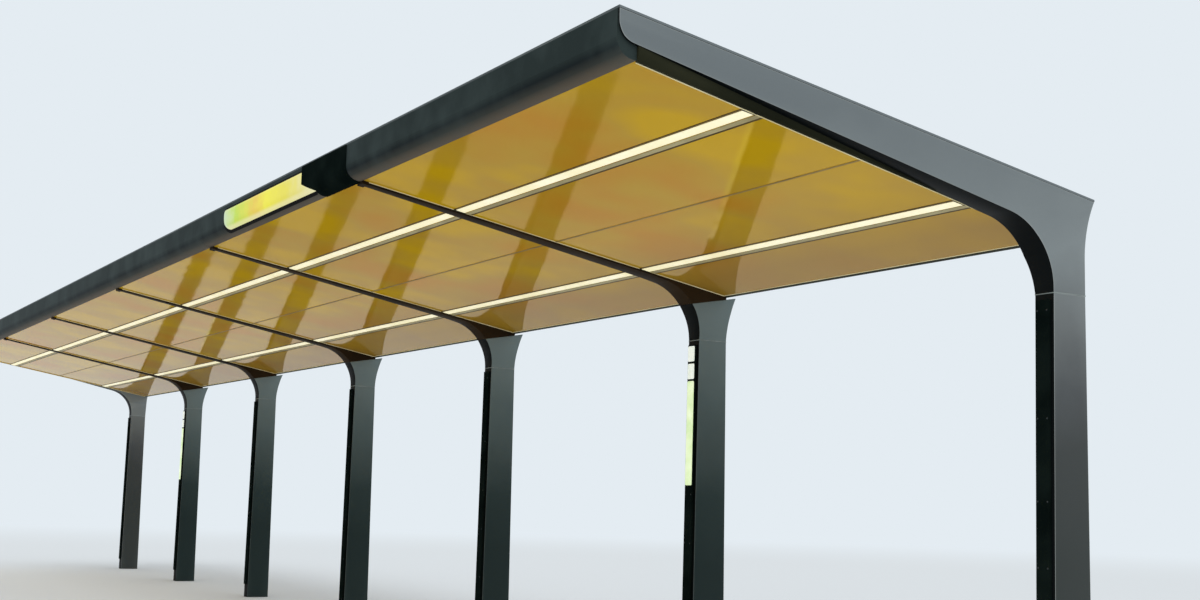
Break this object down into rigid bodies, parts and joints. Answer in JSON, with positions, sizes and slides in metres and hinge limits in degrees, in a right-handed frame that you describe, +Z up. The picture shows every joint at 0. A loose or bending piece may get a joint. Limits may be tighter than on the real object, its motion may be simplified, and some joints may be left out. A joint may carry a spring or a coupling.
{
  "type": "bus shelter",
  "caption": "Cantilevered bus shelter: a row of tapered steel frames carries a long sloping roof with glossy ceiling panels, two light strips and a lit sign.",
  "frame": {"origin": "middle of the foot of the middle post, at ground level", "axes": "+X along the shelter, towards the end that is near in the picture; -Y towards the open front; +Z up"},
  "size_m": [18.12, 2.617, 3.1368],
  "materials": {
    "end_frame_paint": "satin mid grey powder coat",
    "frame_paint": "satin dark green-grey powder coat",
    "arm_paint": "semi-gloss graphite powder coat",
    "fascia_paint": "semi-gloss graphite powder coat",
    "roof_sheet": "satin grey coated sheet",
    "ceiling_panel": "high-gloss amber laminate",
    "channel_aluminium": "satin extruded",
    "light_diffuser": "opal acrylic, lit",
    "sign_diffuser": "yellow acrylic, lit from behind",
    "housing_gloss": "high-gloss black",
    "cover_gloss": "gloss black",
    "post_sign_diffuser": "yellow-green acrylic, lit from behind",
    "hidden_steel": "matt primer"
  },
  "bodies": {
    "root": {"post_1": "end_frame_paint", "post_2": "frame_paint", "post_3": "frame_paint", "post_4": "frame_paint", "post_5": "frame_paint", "post_6": "frame_paint", "post_7": "end_frame_paint", "head_2": "frame_paint", "head_3": "frame_paint", "head_4": "frame_paint", "head_5": "frame_paint", "head_6": "frame_paint", "end_arm_1": "end_frame_paint", "arm_2": "arm_paint", "arm_3": "arm_paint", "arm_4": "arm_paint", "arm_5": "arm_paint", "arm_6": "arm_paint", "end_arm_7": "end_frame_paint", "ceiling_1": "ceiling_panel", "ceiling_2": "ceiling_panel", "ceiling_3": "ceiling_panel", "ceiling_4": "ceiling_panel", "ceiling_5": "ceiling_panel", "ceiling_6": "ceiling_panel", "fascia": "fascia_paint", "sign_fascia": "fascia_paint", "sign_face": "sign_diffuser", "sign_housing": "housing_gloss", "roof_sheets": "roof_sheet", "rear_trim": "fascia_paint", "ceiling_ends": "fascia_paint", "front_purlin": "hidden_steel", "middle_purlin": "hidden_steel", "rear_purlin": "hidden_steel", "joint_bar": "fascia_paint", "front_channel": "channel_aluminium", "rear_channel": "channel_aluminium", "front_light": "light_diffuser", "rear_light": "light_diffuser", "cable_covers": "cover_gloss", "post_sign_2": "post_sign_diffuser", "post_sign_6": "post_sign_diffuser"}
  },
  "joints": []
}
